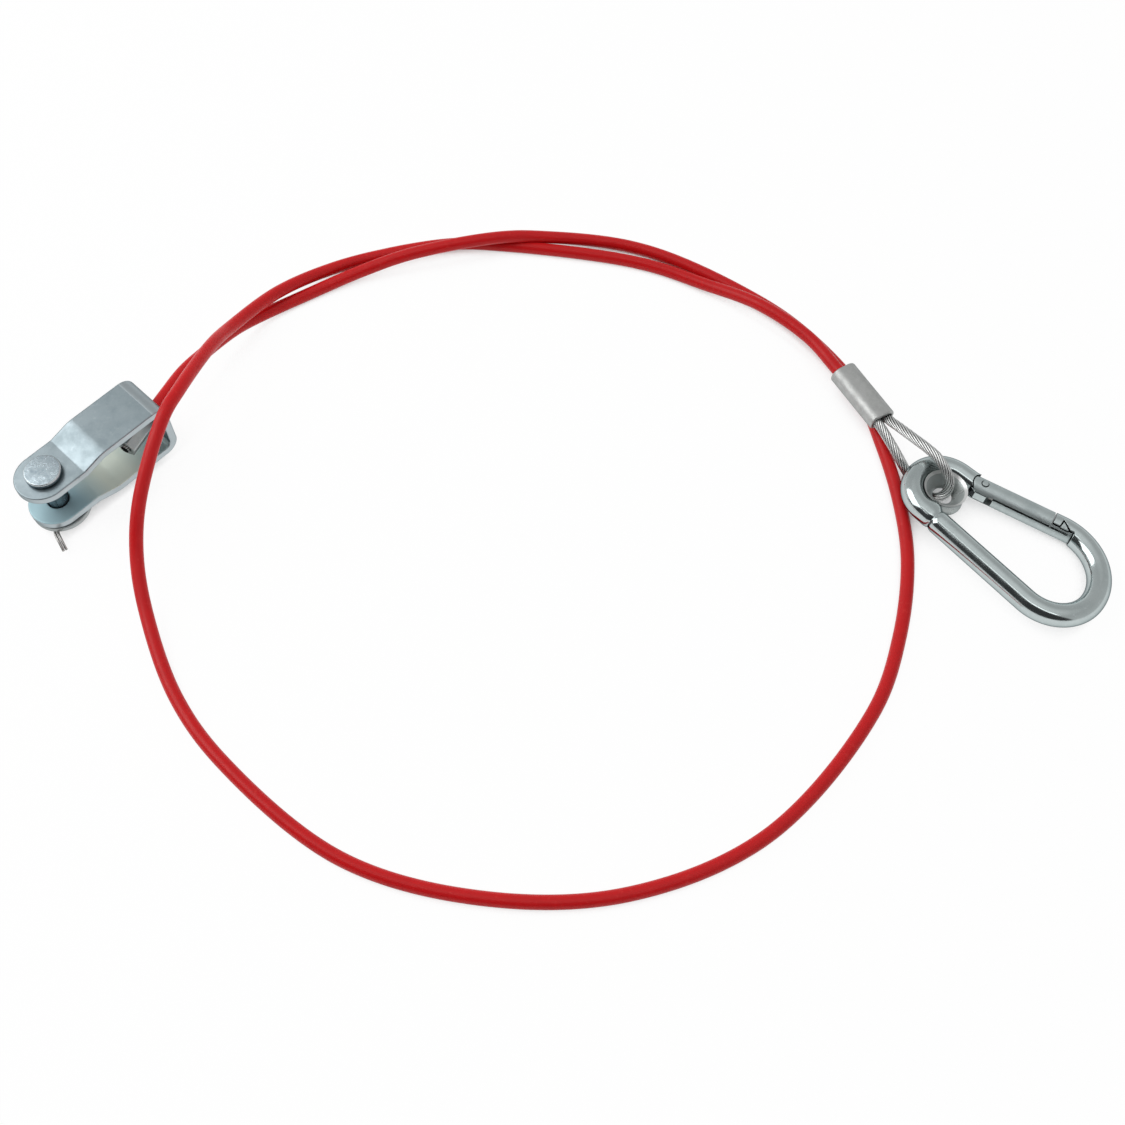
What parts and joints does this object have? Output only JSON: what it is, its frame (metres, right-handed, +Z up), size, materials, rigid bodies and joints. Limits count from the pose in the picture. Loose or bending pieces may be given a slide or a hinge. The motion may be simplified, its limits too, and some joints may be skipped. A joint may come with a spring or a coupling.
{
  "type": "breakaway cable",
  "caption": "Red coated wire rope lying in a loose coil, with a pinned steel fork at one end and a spring snap hook on a ferruled rope eye at the other.",
  "frame": {"origin": "on the table the part lies on, below the middle of the box round its metal pieces", "axes": "+Z up from the table, +X from the fork to the snap hook, +Y away from the viewer of the picture"},
  "size_m": [0.3163, 0.2275, 0.032],
  "materials": {
    "zinc_plate": "zinc plated, satin with grey mottling",
    "bright_zinc_plate": "bright zinc plated, close to a mirror",
    "dull_steel": "plain drawn wire",
    "spring_steel": "drawn spring wire",
    "galvanised_rope": "bright galvanised strands",
    "pressed_aluminium": "satin, as pressed",
    "red_coat": "semi-gloss soft coat"
  },
  "bodies": {
    "cable": {"cable": "red_coat", "cable_stub": "galvanised_rope", "cable_stop": "zinc_plate", "ferrule": "pressed_aluminium", "eye_rope": "galvanised_rope"},
    "fork": {"fork": "zinc_plate"},
    "pin": {"fork_pin": "zinc_plate", "fork_washer": "zinc_plate", "split_pin": "dull_steel"},
    "hook": {"hook_body": "bright_zinc_plate", "hook_eyelet": "bright_zinc_plate", "gate_rivet": "dull_steel"},
    "gate": {"hook_gate": "bright_zinc_plate", "gate_spring": "spring_steel"},
    "plunger": {"gate_plunger": "dull_steel"}
  },
  "joints": [
    {"name": "fork_swivel", "type": "hinge", "parent": "cable", "child": "fork", "pos_m": [-0.12331, 0.02195, 0.0135], "axis": [0.6871, 0.7266, 0], "continuous": true},
    {"name": "pin_turn", "type": "hinge", "parent": "fork", "child": "pin", "pos_m": [-0.1487, -0.0049, 0.0135], "axis": [0, 0, 1], "continuous": true},
    {"name": "hook_swing", "type": "hinge", "parent": "cable", "child": "hook", "pos_m": [0.1129, -0.00225, 0.0068], "axis": [-0.1009, -0.0483, -0.9937], "range_deg": [0, 110]},
    {"name": "gate_hinge", "type": "hinge", "parent": "hook", "child": "gate", "pos_m": [0.12479, -0.00041, 0.0055], "axis": [-0.1009, -0.0483, -0.9937], "range_deg": [0, 38], "stiffness_Nm_per_rad": 0.08, "springref_deg": -28.65},
    {"name": "plunger_slide", "type": "slide", "parent": "gate", "child": "plunger", "axis": [0.8761, -0.4777, -0.0658], "range_m": [0, 0.00125], "deforming": ["gate_spring"]}
  ],
  "couplings": [
    {"joint": "plunger_slide", "follows": "gate_hinge", "m_per_rad": 0.0018}
  ]
}
